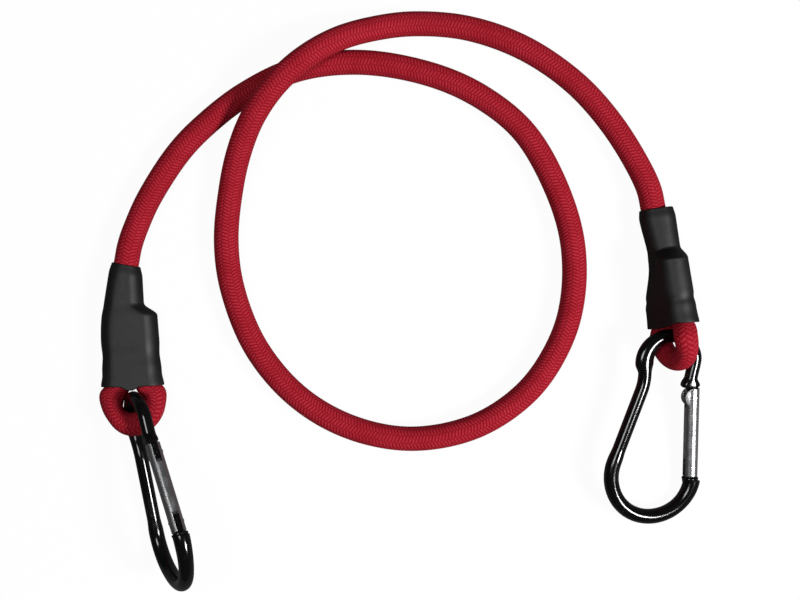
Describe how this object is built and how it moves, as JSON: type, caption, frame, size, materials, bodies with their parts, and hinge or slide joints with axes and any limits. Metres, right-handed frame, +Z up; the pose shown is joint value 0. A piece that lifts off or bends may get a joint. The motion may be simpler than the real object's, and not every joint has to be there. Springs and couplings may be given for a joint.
{
  "type": "bungee cord",
  "caption": "Elastic tie-down cord with a snap carabiner at each end. Each carabiner swings in the cord's sleeved eye, and its gate opens inwards and springs shut.",
  "frame": {"origin": "centre of the bounding box of the two end fittings and carabiners, on the surface that the cord lies on", "axes": "+X from the left carabiner towards the right one, +Y from the carabiners towards the sleeves, +Z up"},
  "size_m": [0.2497, 0.237, 0.0382],
  "materials": {
    "braid_red": "fine tubular braid",
    "rubber_core": "raw rubber",
    "sleeve_rubber": "matte",
    "anodised_black": "glossy black anodised",
    "gate_silver": "satin",
    "spring_steel": "bare drawn steel"
  },
  "bodies": {
    "cord": {"cord_sheath": "braid_red", "cord_core": "rubber_core", "left_eye_sheath": "braid_red", "left_eye_core": "rubber_core", "left_lower_clamp_band": "spring_steel", "left_upper_clamp_band": "spring_steel", "left_sleeve": "sleeve_rubber", "right_eye_sheath": "braid_red", "right_eye_core": "rubber_core", "right_lower_clamp_band": "spring_steel", "right_upper_clamp_band": "spring_steel", "right_sleeve": "sleeve_rubber"},
    "left_carabiner": {"left_carabiner_body": "anodised_black"},
    "left_gate_bar": {"left_gate": "gate_silver", "left_pivot_pin": "gate_silver", "left_latch_pin": "gate_silver", "left_gate_spring": "spring_steel"},
    "left_plunger": {"left_spring_plunger": "spring_steel"},
    "right_carabiner": {"right_carabiner_body": "anodised_black"},
    "right_gate_bar": {"right_gate": "gate_silver", "right_pivot_pin": "gate_silver", "right_latch_pin": "gate_silver", "right_gate_spring": "spring_steel"},
    "right_plunger": {"right_spring_plunger": "spring_steel"}
  },
  "joints": [
    {"name": "left_carabiner_swing", "type": "hinge", "parent": "cord", "child": "left_carabiner", "pos_m": [-0.1072, -0.0121, 0.01321], "axis": [-0.8761, -0.197, 0.4401], "range_deg": [-75, 75]},
    {"name": "left_gate_hinge", "type": "hinge", "parent": "left_carabiner", "child": "left_gate_bar", "pos_m": [-0.09878, -0.02222, 0.02544], "axis": [0.8761, 0.197, -0.4401], "range_deg": [0, 34], "stiffness_Nm_per_rad": 0.1, "springref_deg": -28.65},
    {"name": "left_plunger_slide", "type": "slide", "parent": "left_gate_bar", "child": "left_plunger", "axis": [0.3284, -0.9121, 0.2453], "range_m": [0, 0.0011], "deforming": ["left_gate_spring"]},
    {"name": "right_carabiner_swing", "type": "hinge", "parent": "cord", "child": "right_carabiner", "pos_m": [0.1111, 0.0137, 0.01225], "axis": [0.2081, -0.1273, 0.9698], "range_deg": [-75, 75]},
    {"name": "right_gate_hinge", "type": "hinge", "parent": "right_carabiner", "child": "right_gate_bar", "pos_m": [0.12081, -0.00089, 0.00825], "axis": [-0.2081, 0.1273, -0.9698], "range_deg": [0, 34], "stiffness_Nm_per_rad": 0.1, "springref_deg": -28.65},
    {"name": "right_plunger_slide", "type": "slide", "parent": "right_gate_bar", "child": "right_plunger", "axis": [0.0017, -0.9914, -0.1305], "range_m": [0, 0.0011], "deforming": ["right_gate_spring"]}
  ],
  "couplings": [
    {"joint": "left_plunger_slide", "follows": "left_gate_hinge", "m_per_rad": 0.0017},
    {"joint": "right_plunger_slide", "follows": "right_gate_hinge", "m_per_rad": 0.0017}
  ]
}
